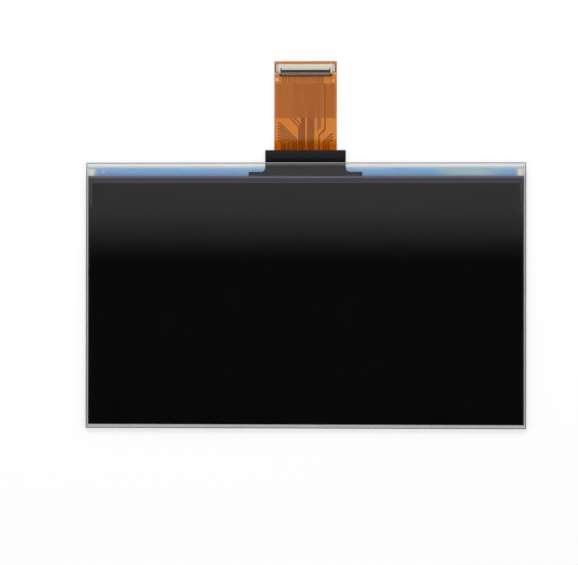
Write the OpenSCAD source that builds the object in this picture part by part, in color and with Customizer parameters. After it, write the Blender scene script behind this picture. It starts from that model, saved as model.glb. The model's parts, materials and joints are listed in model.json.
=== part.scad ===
// Liquid-crystal panel for a resin printer, with its flexible tail and cable connector.
// The panel lies face up: X runs along its long side, Y runs toward the tail, Z is up.
// The origin is at the middle of the cover glass's outline, on the surface the panel lies on.

/* [Picture area] */
// Width of the picture area
picture_w = 218.9; // [160:0.1:280]
// Height of the picture area
picture_h = 122.9; // [80:0.1:180]

/* [Polarizing films] */
// How far the films reach past the picture at each side
polarizer_side = 1.65; // [0.8:0.05:4]
// How far the films reach past the picture next to the ledge
polarizer_top = 3.5; // [0.8:0.05:6]
// How far the films reach past the picture at the far edge
polarizer_bottom = 0.5; // [0.3:0.05:4]
// Thickness of each film
polarizer_t = 0.2; // [0.1:0.01:0.4]
// Corner radius of the films
polarizer_corner = 0.5; // [0.2:0.05:2]

/* [Liquid crystal cell] */
// How far the two glasses reach past the films
cell_margin = 0.4; // [0.2:0.05:2]
// Thickness of the lower glass, which carries the ledge
array_t = 0.5; // [0.3:0.05:1.1]
// Thickness of the upper glass
counter_t = 0.5; // [0.3:0.05:1.1]
// Gap between the two glasses, thicker here than the real few thousandths
cell_gap = 0.05; // [0.02:0.01:0.1]
// Distance from the glasses' edge to the seal
seal_inset = 0.25; // [0.1:0.05:0.4]
// Depth of the contact ledge
ledge_d = 4.0; // [3.6:0.1:8]

/* [Cover glass] */
// How far the cover glass reaches past the cell at each side
cover_side = 1.0; // [0.4:0.05:4]
// How far the cover glass reaches past the cell at the far edge
cover_bottom = 1.7; // [0.4:0.05:4]
// How far the cover glass reaches past the ledge
cover_top = 2.6; // [1:0.05:6]
// Thickness of the cover glass
cover_t = 0.7; // [0.4:0.05:2]
// Ground bevel along the cover glass's edges
cover_bevel = 0.12; // [0.05:0.01:0.18]
// Cut across the cover glass's four corners
cover_corner = 0.4; // [0.2:0.05:1.5]
// Thickness of the clear adhesive under the cover glass
adhesive_t = 0.15; // [0.1:0.01:0.5]
// How far the adhesive stays back from the film's edge
adhesive_inset = 0.2; // [0.1:0.05:1]

/* [Ledge] */
// Length of a driver chip
chip_l = 26; // [15:0.5:30]
// Width of a driver chip
chip_w = 1.2; // [0.8:0.05:1.5]
// Height of a driver chip
chip_t = 0.17; // [0.15:0.01:0.3]
// Gap between the two chips
chip_gap = 3; // [1:0.5:6]
// Distance from the upper glass to the chips
chip_inset = 0.5; // [0.2:0.05:0.8]
// Width of the blue sealant, measured from the upper glass
sealant_w = 3.6; // [2.5:0.1:3.6]
// How far the sealant's top lies below the chips' tops
sealant_drop = 0.03; // [0.02:0.01:0.06]
// Distance from the lower glass's side to the sealant's end
sealant_end = 2.8; // [1:0.1:8]
// How far the sealant's ends slant
sealant_slant = 1.4; // [0.2:0.1:3]
// Gap between the sealant and a chip
sealant_gap = 0.06; // [0.03:0.01:0.2]

/* [Flexible tail] */
// How far the tail reaches past the cover glass
tail_l = 52.0; // [46:0.1:90]
// Width of film beside the connector's tabs
tail_margin = 0.8; // [0.5:0.1:5]
// Corner radius at the tail's end
tail_corner = 0.3; // [0.2:0.05:1.5]
// Thickness of the base film
film_t = 0.05; // [0.03:0.005:0.1]
// Thickness of the copper
copper_t = 0.035; // [0.02:0.005:0.05]
// Thickness of the cover film
coverlay_t = 0.05; // [0.03:0.005:0.1]
// Depth of the bond between the tail and the ledge
bond_d = 1.5; // [1:0.1:1.8]
// Thickness of the bond
bond_t = 0.035; // [0.02:0.005:0.05]
// Distance past the cover glass at which the tail has come down flat
bend_end = 14.5; // [8:0.5:16]
// Distance past the cover glass at which the copper plane on the back starts
plane_start = 22.8; // [20:0.1:26]
// Gap between the copper plane and the stiffener
plane_gap = 0.8; // [0.3:0.1:3]
// Bare margin at each side of the copper plane
plane_margin = 1.0; // [0.5:0.1:3]
// Thickness of the stiffener behind the connector
stiffener_t = 0.3; // [0.1:0.05:0.8]
// Length of the stiffener, from the tail's end
stiffener_l = 10.6; // [8:0.1:11]

/* [Conductors] */
// Width of a conductor in the bundles
trace_w = 0.22; // [0.14:0.01:0.24]
// Pitch of the conductors in the bundles
trace_pitch = 0.37; // [0.35:0.01:0.42]
// Width of a conductor in the fans at the sides
fan_w = 0.5; // [0.2:0.01:0.6]
// Pitch of the fans' conductors at the bond
fan_pitch = 1.25; // [1.1:0.05:1.3]
// Step between the fans' conductors at the tail's sides
fan_step = 1.55; // [1.3:0.05:1.7]
// Width of the supply conductor
supply_w = 0.55; // [0.4:0.05:0.8]
// Radius of the conductors' bends
trace_bend = 1.2; // [0.6:0.1:1.4]
// Diameter of the pad at a conductor's end
via_d = 0.4; // [0.35:0.05:0.5]

/* [Shield tape] */
// How far the tape reaches past the tail at each side
tape_side = 4.6; // [1:0.1:10]
// How far the tape reaches past the cover glass
tape_out = 6.4; // [3:0.1:8]
// How far each foot reaches past the tape's side
tape_foot = 8.5; // [4:0.1:12]
// Depth of the feet
tape_foot_d = 1.8; // [1.8:0.05:2.4]
// Radius between the feet and the tape's sides
tape_fillet = 2.2; // [0.5:0.1:3]
// Thickness of the tape
tape_t = 0.08; // [0.05:0.01:0.12]
// Gap between the tape and the upper glass
tape_gap = 0.1; // [0.05:0.05:0.3]

/* [Cable connector] */
// Number of contacts
pin_count = 50; // [46:2:60]
// Pitch of the contacts
pin_pitch = 0.5; // [0.5:0.05:0.6]
// Thickness of a contact
pin_t = 0.2; // [0.12:0.01:0.24]
// Length of a contact's solder foot
pin_foot = 1.0; // [0.6:0.05:1.2]
// Depth of the grooves in which the contacts lie
groove_d = 0.1; // [0.05:0.01:0.15]
// Gap between a contact and the housing at each side
comb_gap = 0.05; // [0.03:0.01:0.08]
// Distance from the tail's end to the connector's mouth
mouth_inset = 1.5; // [0.5:0.1:3]
// Height of the housing
housing_h = 1.9; // [1.8:0.05:2.4]
// Thickness of the housing's floor
floor_t = 0.5; // [0.4:0.05:0.6]
// Height of the cable slot
slot_h = 0.5; // [0.45:0.05:0.6]
// Side play of the cable in the slot
slot_play = 0.1; // [0.05:0.05:0.3]
// Depth of the roof over the cable slot
roof_d = 3.35; // [2.5:0.05:4.5]
// How far the roof's front edge lies behind the floor's
roof_setback = 0.3; // [0.1:0.05:0.6]
// Lead-in bevel at the slot's mouth
lead_in = 0.2; // [0.1:0.05:0.3]
// Thickness of the housing's side arms
arm_t = 0.8; // [0.7:0.05:1.5]
// Width of the slits at the roof's rear corners
slit_w = 0.6; // [0.3:0.05:1]
// Depth of the slits at the roof's rear corners
slit_d = 1.2; // [0.5:0.05:1.6]
// Width of a solder tab's foot
tab_w = 1.7; // [0.8:0.05:2]
// Length of a solder tab
tab_l = 3.8; // [3:0.1:4.2]
// Thickness of a solder tab
tab_t = 0.2; // [0.1:0.01:0.3]
// Height of a solder tab's blade
tab_h = 1.2; // [0.6:0.05:1.5]

/* [Lock lever] */
// Length of the lever, from its pivot to its free edge
lever_l = 2.0; // [1.6:0.05:2.1]
// Thickness of the lever in front of its pivot
lever_front = 0.45; // [0.42:0.01:0.5]
// Thickness of the lever behind its pivot
lever_back = 0.25; // [0.2:0.01:0.35]
// Radius of the lever's round nose
nose_r = 0.4; // [0.34:0.01:0.42]
// Radius of the trunnions
trunnion_r = 0.28; // [0.2:0.01:0.3]
// Length of a trunnion past the lever's end
trunnion_l = 0.5; // [0.3:0.05:0.55]
// Play of a trunnion in its bearing
trunnion_play = 0.03; // [0.02:0.005:0.05]
// Gap between the lever and the housing
lever_gap = 0.1; // [0.08:0.01:0.15]

/* [Hidden] */

$fn = 48;

// Heights of the glass stack, each layer on the one below
array_z = polarizer_t;
ledge_z = array_z + array_t;
counter_z = ledge_z + cell_gap;
front_film_z = counter_z + counter_t;
adhesive_z = front_film_z + polarizer_t;
cover_z = adhesive_z + adhesive_t;

// Outline of the films, the cell and the cover glass
polarizer_w = picture_w + 2 * polarizer_side;
polarizer_h = picture_h + polarizer_bottom + polarizer_top;
cell_w = polarizer_w + 2 * cell_margin;
counter_h = polarizer_h + 2 * cell_margin;
array_h = counter_h + ledge_d;
cover_w = cell_w + 2 * cover_side;
cover_h = cover_bottom + array_h + cover_top;

// Places along Y, from the far edge to the tail
far_y = -cover_h / 2;
cell_y = far_y + cover_bottom;
polarizer_y = cell_y + cell_margin;
picture_y = polarizer_y + polarizer_bottom;
counter_end_y = cell_y + counter_h;
ledge_end_y = counter_end_y + ledge_d;
edge_y = cover_h / 2;
tail_end_y = edge_y + tail_l;

// Cable connector, from the contact row outward
pin_span = (pin_count - 1) * pin_pitch;
slot_w = pin_span + 2 * pin_pitch + slot_play;
housing_w = slot_w + 2 * arm_t;
tab_bite = tab_t / 2;
connector_w = housing_w + 2 * (tab_w - tab_bite);
mouth_y = tail_end_y - mouth_inset;
roof_z = floor_t + slot_h;

// Lever and contacts, measured from the mouth toward the panel
pivot_d = roof_d + 0.15 + lever_front;
pivot_z = housing_h - lever_front;
lever_w = slot_w - 2 * lever_gap;
post_d = pivot_d + nose_r + lever_gap;
post_l = 0.5;
post_h = pivot_z - nose_r - 0.05;
foot_end_d = post_d + post_l + pin_foot;
beam_front = 1.0;
beam_t = 0.15;
arm_d = post_d + 0.75;
floor_d = post_d - 0.05;

// Tail, which comes down from the ledge to lie on the stiffener
tail_w = connector_w + 2 * tail_margin;
flex_t = film_t + copper_t + coverlay_t;
bond_y = ledge_end_y - bond_d;
bend_y = edge_y + bend_end;
stiffener_y = tail_end_y - stiffener_l;
bond_top_z = ledge_z + bond_t;
bend_steps = 12;
pad_z = stiffener_t + film_t + copper_t;
pad_w = 0.3;
pad_end_y = mouth_y - foot_end_d - 0.25;
window_gap = 0.2;

// Tape, which lies on whichever is higher, the chips or the tail
tape_w = tail_w + 2 * tape_side;
tape_lift = max(chip_t, bond_t + flex_t) - bond_t;
tape_y = counter_end_y + tape_gap;

// Height of the tail's underside at a place along Y
function tail_z(y) =
    y >= bend_y ? stiffener_t :
    y <= ledge_end_y ? bond_top_z :
    let (run = (y - ledge_end_y) / (bend_y - ledge_end_y))
    bond_top_z + (stiffener_t - bond_top_z) * (1 - cos(180 * run)) / 2;

// Places along Y at which the tail's section has a point
function section_ys(from, to) = concat(
    [from],
    [for (i = [0:bend_steps])
        let (y = ledge_end_y + (bend_y - ledge_end_y) * i / bend_steps)
        if (y > from + 0.01 && y < to - 0.01) y],
    [to]);

// Square to the left of the way from a to b
function left_of(a, b) = let (d = (b - a) / norm(b - a)) [-d.y, d.x];

// Arc that replaces the corner at b, as a few points
function corner_arc(a, b, c, r) =
    let (u = (a - b) / norm(a - b), v = (c - b) / norm(c - b))
    u * v < -0.98 ? [b] :
    let (half = acos(u * v) / 2,
         back = r / tan(half),
         middle = b + (u + v) / norm(u + v) * r / sin(half),
         p = b + u * back - middle, q = b + v * back - middle)
    [for (i = [0:3]) middle + r * (p * (3 - i) + q * i) / norm(p * (3 - i) + q * i)];

// Path with its corners rounded
function rounded(path, r) = concat(
    [path[0]],
    [for (i = [1:1:len(path) - 2]) each corner_arc(path[i - 1], path[i], path[i + 1], r)],
    [path[len(path) - 1]]);

// Outline of a conductor of width w along a path
function conductor(path, w) =
    let (last = len(path) - 1,
         side = [for (i = [0:last])
             let (m = left_of(path[max(i - 1, 0)], path[max(i, 1)]),
                  n = left_of(path[min(i, last - 1)], path[min(i + 1, last)]))
             (m + n) / (1 + m * n) * w / 2])
    concat([for (i = [0:last]) path[i] - side[i]],
        [for (i = [last:-1:0]) path[i] + side[i]]);

// Place of a contact across the row, counted from the left
function pin_x(i) = (i - (pin_count - 1) / 2) * pin_pitch;

module plate(w, y, h, z, t) {
    translate([-w / 2, y, z]) cube([w, h, t]);
}

module round_rect(w, h, r) {
    translate([-w / 2 + r, 0]) square([w - 2 * r, h]);
    translate([-w / 2, r]) square([w, h - 2 * r]);
    for (x = [-w / 2 + r, w / 2 - r], y = [r, h - r]) translate([x, y]) circle(r);
}

// Section drawn in Y and Z, run along X
module along_x(w) {
    translate([-w / 2, 0, 0]) rotate([90, 0, 90]) linear_extrude(w) children();
}

// Layer of the tail between two heights above its underside
module tail_layer(w, from, to, low, high) {
    ys = section_ys(from, to);
    last = len(ys) - 1;
    along_x(w) polygon(concat(
        [for (i = [0:last]) [ys[i], tail_z(ys[i]) + low]],
        [for (i = [last:-1:0]) [ys[i], tail_z(ys[i]) + high]]));
}

// Connector's own frame: Y runs in from its mouth, Z up from the pads
module at_connector() {
    translate([0, mouth_y, pad_z]) mirror([0, 1, 0]) children();
}

module polarizer(z) {
    translate([0, polarizer_y, z]) linear_extrude(polarizer_t)
        round_rect(polarizer_w, polarizer_h, polarizer_corner);
}

module rear_polarizer() {
    color("#1c1c20") polarizer(0);
}

module array_glass() {
    color("#c9d2d4") plate(cell_w, cell_y, array_h, array_z, array_t);
}

module cell_seal() {
    seal_w = cell_w - 2 * seal_inset;
    seal_h = counter_h - 2 * seal_inset;
    color("#46464e") difference() {
        plate(seal_w, cell_y + seal_inset, seal_h, ledge_z, cell_gap);
        plate(picture_w, picture_y, picture_h, ledge_z - 1, cell_gap + 2);
    }
}

module liquid_crystal() {
    color("#33333a") plate(picture_w, picture_y, picture_h, ledge_z, cell_gap);
}

module counter_glass() {
    color("#c9d2d4") plate(cell_w, cell_y, counter_h, counter_z, counter_t);
}

module front_polarizer() {
    color("#16161a") polarizer(front_film_z);
}

module adhesive_sheet() {
    h = polarizer_h - 2 * adhesive_inset;
    color("#e4e8ea") translate([0, polarizer_y + adhesive_inset, adhesive_z])
        linear_extrude(adhesive_t)
            round_rect(polarizer_w - 2 * adhesive_inset, h, polarizer_corner);
}

module bevelled(w, t, b) {
    polygon([[-w / 2 + b, 0], [w / 2 - b, 0], [w / 2, b], [w / 2, t - b],
        [w / 2 - b, t], [-w / 2 + b, t], [-w / 2, t - b], [-w / 2, b]]);
}

module cover_glass() {
    c = cover_corner;
    color("#dfe6e7") translate([0, 0, cover_z]) intersection() {
        along_x(cover_w) bevelled(cover_h, cover_t, cover_bevel);
        translate([0, cover_h / 2, 0]) rotate([90, 0, 0]) linear_extrude(cover_h)
            bevelled(cover_w, cover_t, cover_bevel);
        translate([0, -cover_h / 2, 0]) linear_extrude(cover_t)
            polygon([[-cover_w / 2 + c, 0], [cover_w / 2 - c, 0], [cover_w / 2, c],
                [cover_w / 2, cover_h - c], [cover_w / 2 - c, cover_h],
                [-cover_w / 2 + c, cover_h], [-cover_w / 2, cover_h - c], [-cover_w / 2, c]]);
    }
}

// Driver chip, grown on its plan by a gap where it is cut out of the sealant
module driver_chip(gap) {
    translate([chip_gap / 2 - gap, counter_end_y + chip_inset - gap, ledge_z])
        cube([chip_l + 2 * gap, chip_w + 2 * gap, chip_t]);
}

module driver_chip_left() {
    color("#3c3c42") mirror([1, 0, 0]) driver_chip(0);
}

module driver_chip_right() {
    color("#3c3c42") driver_chip(0);
}

// Bead of sealant from the tape out to the ledge's end, its end slanted
module ledge_sealant() {
    from = tape_w / 2 + tape_gap;
    to = cell_w / 2 - sealant_end;
    difference() {
        translate([0, counter_end_y, ledge_z]) linear_extrude(chip_t - sealant_drop)
            polygon([[from, 0], [to, 0], [to - sealant_slant, sealant_w], [from, sealant_w]]);
        driver_chip(sealant_gap);
    }
}

module ledge_sealant_left() {
    color("#6fa3cb") mirror([1, 0, 0]) ledge_sealant();
}

module ledge_sealant_right() {
    color("#6fa3cb") ledge_sealant();
}

module bond_strip() {
    color("#b9b2a2") plate(tail_w, bond_y, bond_d, ledge_z, bond_t);
}

module tail_outline() {
    r = tail_corner;
    translate([-tail_w / 2, bond_y]) square([tail_w, tail_end_y - r - bond_y]);
    translate([-tail_w / 2 + r, bond_y]) square([tail_w - 2 * r, tail_end_y - bond_y]);
    for (side = [-1, 1]) translate([side * (tail_w / 2 - r), tail_end_y - r]) circle(r);
}

module flex_film() {
    color("#c08034") intersection() {
        linear_extrude(5) tail_outline();
        tail_layer(tail_w, bond_y, tail_end_y, 0, film_t);
    }
}

// Pads under the contacts' feet and the two tabs
module pads() {
    for (i = [0:pin_count - 1])
        translate([pin_x(i) - pad_w / 2, pad_end_y])
            square([pad_w, mouth_y - post_d - post_l / 2 - pad_end_y]);
    for (side = [-1, 1])
        translate([side * (connector_w - tab_w) / 2 - tab_w / 2, mouth_y - tab_l - 0.4])
            square([tab_w, tab_l + 0.4]);
}

// Straight run from a contact down to a place above the cover glass, ending in a small pad
module stub(i, up) {
    translate([pin_x(i) - trace_w / 2, edge_y + up])
        square([trace_w, pad_end_y + 0.1 - edge_y - up]);
    translate([pin_x(i), edge_y + up]) circle(via_d / 2);
}

// Straight run from a small pad on the film down to the bond
module lead(x, up) {
    translate([x - trace_w / 2, bond_y + 0.1])
        square([trace_w, edge_y + up - bond_y - 0.1]);
    translate([x, edge_y + up]) circle(via_d / 2);
}

// Run from a contact that moves sideways at 45 degrees and goes on down to the bond
module run(i, x, up) {
    shift = max(abs(x - pin_x(i)), 0.5);
    polygon(conductor(rounded([[pin_x(i), pad_end_y + 0.1], [pin_x(i), edge_y + up + shift],
        [x, edge_y + up], [x, bond_y + 0.1]], trace_bend / 4), trace_w));
}

// Wide supply conductor, which steps aside twice
module supply(i, x_down, x_bond, up) {
    step_y = pad_end_y - 3.8;
    polygon(conductor(rounded([[pin_x(i), pad_end_y + 0.1], [pin_x(i), step_y],
        [x_down, step_y - abs(x_down - pin_x(i))], [x_down, edge_y + up],
        [x_bond, edge_y + up - abs(x_down - x_bond)], [x_bond, bond_y + 0.1]], trace_bend / 3),
        supply_w));
}

// Conductor that comes in from the tail's side and turns down to the bond
module fan(from, x, up) {
    edge_x = from * (tail_w / 2 - 1.9);
    slope = abs(edge_x - x) - 0.9;
    polygon(conductor(rounded([[edge_x, edge_y + up], [edge_x - from * 0.9, edge_y + up],
        [x, edge_y + up - slope], [x, bond_y + 0.1]], trace_bend), fan_w));
    translate([edge_x, edge_y + up]) circle(via_d / 2);
}

module trace_pattern() {
    middle = pin_count / 2;
    pads();
    // Fans at the two sides, the left one with a short lead between each two of its conductors
    for (k = [0:6]) fan(-1, -4.6 - fan_pitch * k, 20.4 - fan_step * k);
    for (k = [0:5]) lead(-4.6 - fan_pitch * (k + 0.5), 10.9 - (fan_step - fan_pitch) * k);
    for (k = [0:2]) fan(1, 9.2 + fan_pitch * k, 14.7 - fan_step * k);
    // Pairs that come in from the left and join the first bundle
    for (k = [0, 1]) {
        run(middle - 18 + k, -3.6 + trace_pitch * k, 18.3 + 0.2 * k);
        run(middle - 12 + k, -3.6 + trace_pitch * (k + 2), 19.8 + 0.2 * k);
    }
    // Pairs that run down almost straight into the two bundles
    for (g = [0:2], k = [0, 1])
        run(middle - 9 + 3 * g + k, -3.6 + trace_pitch * (4 + 2 * g + k), 23.4 + 0.6 * g + 0.2 * k);
    for (k = [0, 1]) run(middle + k, 1.0 + trace_pitch * k, 26.4 + 0.2 * k);
    for (g = [1:3], k = [0, 1])
        run(middle + 3 * g + k, 1.0 + trace_pitch * (2 * g + k), 26.4 - 0.6 * g - 0.2 * k);
    for (k = [8, 9]) lead(1.0 + trace_pitch * k, 27.5 - 0.45 * k);
    // Pairs that end on the film, some of them behind the copper plane
    for (g = [0:1], k = [0, 1]) stub(middle - 24 + 3 * g + k, 32 + 2 * g - k);
    for (k = [0, 1]) stub(middle - 15 + k, 30 - k);
    for (k = [0:3]) stub(middle + 12 + k, 16.4 + 0.7 * k);
    supply(middle + 17, 9.95, 6.9, 17);
}

module flex_traces() {
    color("#8a5030") intersection() {
        linear_extrude(5) trace_pattern();
        tail_layer(tail_w, bond_y, tail_end_y, film_t, film_t + copper_t);
    }
}

// Opening in the cover film round the connector, its tabs and its pads
module window() {
    top_y = mouth_y + window_gap;
    rows_y = pad_end_y - window_gap;
    rows_w = housing_w + 2 * window_gap;
    tabs_y = mouth_y - tab_l - 0.4 - window_gap;
    tabs_w = connector_w + 2 * window_gap;
    translate([-rows_w / 2, rows_y]) square([rows_w, top_y - rows_y]);
    translate([-tabs_w / 2, tabs_y]) square([tabs_w, top_y - tabs_y]);
}

module flex_coverlay() {
    color("#d09040", 0.6) intersection() {
        linear_extrude(5) difference() {
            tail_outline();
            window();
        }
        tail_layer(tail_w, bond_y, tail_end_y, film_t + copper_t, flex_t);
    }
}

module flex_ground_plane() {
    from = edge_y + plane_start;
    color("#8f5226") plate(tail_w - 2 * plane_margin, from, stiffener_y - plane_gap - from,
        stiffener_t - copper_t, copper_t);
}

module connector_stiffener() {
    color("#c9a24a") plate(tail_w, stiffener_y, stiffener_l, 0, stiffener_t);
}

module tape_outline() {
    foot_w = tape_w + 2 * tape_foot;
    foot_y = tape_y + tape_foot_d;
    translate([-tape_w / 2, tape_y]) square([tape_w, edge_y + tape_out - tape_y]);
    translate([-foot_w / 2, tape_y]) square([foot_w, tape_foot_d]);
    for (side = [0, 1]) mirror([side, 0]) translate([tape_w / 2, foot_y]) difference() {
        square(tape_fillet);
        translate([tape_fillet, tape_fillet]) circle(tape_fillet);
    }
}

module shield_tape() {
    w = tape_w + 2 * tape_foot;
    color("#26262a") intersection() {
        linear_extrude(5) tape_outline();
        tail_layer(w, tape_y, edge_y + tape_out, tape_lift, tape_lift + tape_t);
    }
}

module connector_housing() {
    groove_w = pin_t + 2 * comb_gap;
    color("#d8d2bf") at_connector() difference() {
        union() {
            comb();
            along_x(housing_w) polygon([[0, 0], [floor_d, 0], [floor_d, floor_t],
                [lead_in, floor_t], [0, floor_t - lead_in]]);
            along_x(housing_w) polygon([[roof_setback, roof_z + lead_in],
                [roof_setback + lead_in, roof_z], [roof_d, roof_z], [roof_d, housing_h],
                [roof_setback, housing_h]]);
            for (side = [-1, 1])
                translate([side * (housing_w - arm_t) / 2 - arm_t / 2, 0, 0])
                    cube([arm_t, arm_d, housing_h]);
        }
        for (side = [-1, 1]) {
            translate([side * (slot_w - slit_w) / 2 - slit_w / 2, roof_d - slit_d, roof_z - 0.05])
                cube([slit_w, slit_d + 1, housing_h]);
            translate([side * (lever_w / 2 + trunnion_l / 2), pivot_d, pivot_z])
                rotate([0, 90, 0])
                    cylinder(r = trunnion_r + trunnion_play, h = trunnion_l + 0.1, center = true);
            translate([side * (housing_w / 2 - tab_bite), 0, 0]) tab_blade(side, 0.02);
        }
        for (i = [0:pin_count - 1])
            translate([pin_x(i) - groove_w / 2, beam_front - 0.1, floor_t - groove_d])
                cube([groove_w, floor_d, slot_h]);
    }
}

// Ribs behind the floor, which keep the contacts' posts apart
module comb() {
    rib_t = pin_pitch - pin_t - 2 * comb_gap;
    for (i = [0:pin_count])
        translate([pin_x(i) - pin_pitch / 2 - rib_t / 2, floor_d - 0.2, 0])
            cube([rib_t, post_l + 0.15, post_h - 0.15]);
}

// Upright blade of a solder tab, which sits in a groove of the housing's side
module tab_blade(side, gap) {
    translate([side > 0 ? -gap : -tab_t - gap, 0.4 - gap, -gap])
        cube([tab_t + 2 * gap, tab_l - 0.8 + 2 * gap, tab_h + 2 * gap]);
}

// Stamped contact: a beam on the floor, a post behind the lever and a foot on the pad
module contact() {
    beam_z = floor_t - groove_d + beam_t;
    translate([-pin_t / 2, 0, 0]) rotate([90, 0, 90]) linear_extrude(pin_t)
        polygon([[foot_end_d, 0], [foot_end_d, 0.14], [post_d + post_l + 0.1, 0.14],
            [post_d + post_l, 0.24], [post_d + post_l, post_h], [post_d, post_h],
            [post_d, beam_z], [beam_front + 1, beam_z], [beam_front + 0.6, beam_z + 0.22],
            [beam_front + 0.4, beam_z + 0.22], [beam_front, floor_t - groove_d],
            [post_d, floor_t - groove_d], [post_d, 0]]);
}

module connector_contacts() {
    color("#b8b0a6") at_connector() for (i = [0:pin_count - 1])
        translate([pin_x(i), 0, 0]) contact();
}

module connector_lock_lever() {
    edge = 0.15;
    color("#2a2a2c") at_connector() translate([0, pivot_d, pivot_z]) difference() {
        lever_body(edge);
        // Shallow recess for a fingernail in the face that lies on top when the lever is shut
        translate([-lever_w / 2 + 1.5, -lever_front - 1, lever_l - 0.9])
            cube([lever_w - 3, 1.1, 0.45]);
    }
}

module lever_body(edge) {
    union() {
        along_x(lever_w) union() {
            circle(nose_r);
            polygon([[-lever_front, 0], [lever_back, 0], [lever_back, lever_l - edge],
                [lever_back - edge, lever_l], [edge - lever_front, lever_l],
                [-lever_front, lever_l - edge]]);
        }
        rotate([0, 90, 0])
            cylinder(r = trunnion_r, h = lever_w + 2 * trunnion_l, center = true);
    }
}

// Solder tab: a foot with two notches and the blade that holds the housing
module solder_tab(side) {
    notch = tab_l / 7;
    at_connector() translate([side * (housing_w / 2 - tab_bite), 0, 0]) {
        linear_extrude(tab_t) scale([side, 1]) difference() {
            translate([tab_bite + 0.02, 0.2]) square([tab_w - tab_bite - 0.02, tab_l - 0.4]);
            for (k = [0, 1]) translate([tab_w - 0.6, 0.2 + (1.5 + 2.4 * k) * notch])
                square([1, notch]);
        }
        tab_blade(side, 0);
    }
}

module solder_tab_left() {
    color("#c8c6c0") solder_tab(-1);
}

module solder_tab_right() {
    color("#c8c6c0") solder_tab(1);
}

rear_polarizer();
array_glass();
cell_seal();
liquid_crystal();
counter_glass();
front_polarizer();
adhesive_sheet();
cover_glass();
driver_chip_left();
driver_chip_right();
ledge_sealant_left();
ledge_sealant_right();
bond_strip();
flex_film();
flex_traces();
flex_coverlay();
flex_ground_plane();
connector_stiffener();
shield_tape();
connector_housing();
connector_contacts();
connector_lock_lever();
solder_tab_left();
solder_tab_right();
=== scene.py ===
# %% [markdown]
# # The screen of a resin printer
# The part is a monochrome liquid-crystal panel: two sheets of glass between two polarizing films,
# a cover glass on top, a ledge with driver chips, and an amber flexible tail with a cable connector.
# The CAD model gives every solid its place and size. This lesson gives them their finishes, and adds
# what is too soft or too fine for CAD: printed marks, solder, beads of sealant and a soft-edged lever.

# %% Load the fixed frame
import json
import math

import bmesh
import bpy
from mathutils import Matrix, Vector


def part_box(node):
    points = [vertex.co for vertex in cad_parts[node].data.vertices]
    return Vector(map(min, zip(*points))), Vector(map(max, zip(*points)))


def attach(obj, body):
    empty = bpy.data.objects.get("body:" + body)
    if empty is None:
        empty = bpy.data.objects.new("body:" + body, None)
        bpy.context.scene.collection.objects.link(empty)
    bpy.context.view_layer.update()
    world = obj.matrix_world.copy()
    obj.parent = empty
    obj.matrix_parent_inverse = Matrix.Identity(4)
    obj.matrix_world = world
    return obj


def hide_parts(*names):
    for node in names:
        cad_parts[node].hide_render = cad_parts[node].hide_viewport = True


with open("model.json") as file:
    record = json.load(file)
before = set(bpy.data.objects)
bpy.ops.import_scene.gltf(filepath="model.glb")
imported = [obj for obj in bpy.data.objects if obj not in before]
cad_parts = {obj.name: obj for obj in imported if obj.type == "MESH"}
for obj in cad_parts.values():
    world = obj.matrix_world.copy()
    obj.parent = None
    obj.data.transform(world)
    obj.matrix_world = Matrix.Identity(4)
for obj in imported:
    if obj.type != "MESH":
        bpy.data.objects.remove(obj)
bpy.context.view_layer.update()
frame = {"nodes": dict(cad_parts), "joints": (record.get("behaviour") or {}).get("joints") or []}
nodes = frame["nodes"]
MM = 0.001

# %% [markdown]
# ## The camera
# A panel is photographed lying flat, with the camera almost straight above it and a long lens, so
# that its edges stay parallel. The place and the small tilt were solved from the four corners of
# the cover glass. The tilt is under two degrees, but it makes the near right corner a little larger.

# %% Camera above the panel
bpy.ops.object.select_all(action="DESELECT")
bpy.ops.object.camera_add(location=(0.022614, -0.002788, 1.001466),
                          rotation=(0.009419, 0.030916, 0.00131))
camera = bpy.context.object
camera.name = "camera_above"
camera.data.sensor_width = 36
camera.data.lens = 121.86
bpy.context.scene.camera = camera
print("camera height in mm:", round(camera.location.z / MM), "lens:", camera.data.lens)

# %% [markdown]
# ## Colours and nodes
# Colours are written as sRGB hex codes, as a paint program shows them. Shaders want linear light,
# so one function converts them. A second small function adds a node, sets its properties and
# fills its inputs with values or with links, which keeps each finish readable as a recipe. A node
# that is given as an input stands for its first output in use, and a pair for From or To fills the
# two ends of that range. In a mix of two colours, input 0 is the share of the second one, and inputs
# 6 and 7 are the colours. A third function starts a finish.

# %% Functions for colours, nodes and finishes
def srgb(code):
    """Turns an sRGB hex code into the linear colour that a shader uses."""
    parts = [int(code[i:i + 2], 16) / 255 for i in (1, 3, 5)]
    linear = [p / 12.92 if p <= 0.04045 else ((p + 0.055) / 1.055) ** 2.4 for p in parts]
    return (*linear, 1.0)


def add(tree, kind, feeds=None, stops=None, **settings):
    """Adds a node, sets its properties, and fills its inputs with values, colours or links."""
    made = tree.nodes.new("ShaderNode" + kind)
    for name, value in settings.items():
        setattr(made, name, value)
    feeds = dict(feeds or {})
    for span in ("From", "To"):
        if span in feeds:
            feeds[span + " Min"], feeds[span + " Max"] = feeds.pop(span)
    for key, value in feeds.items():
        if isinstance(value, bpy.types.Node):
            value = next(socket for socket in value.outputs if socket.enabled)
        if isinstance(value, bpy.types.NodeSocket):
            tree.links.new(value, made.inputs[key])
        else:
            made.inputs[key].default_value = srgb(value) if isinstance(value, str) else value
    for place, (position, code) in enumerate(stops or []):
        points = made.color_ramp.elements
        point = points[place] if place < 2 else points.new(position)
        point.position, point.color = position, srgb(code)
    return made


def new_finish(name):
    """Starts an empty material, and returns it with its tree and the coordinates on its piece."""
    finish = bpy.data.materials.new(name)
    finish.use_nodes = True
    finish.node_tree.nodes.clear()
    return finish, finish.node_tree, add(finish.node_tree, "TexCoord").outputs["Object"]


print("mid grey in linear light:", [round(value, 3) for value in srgb("#808080")[:3]])

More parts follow.
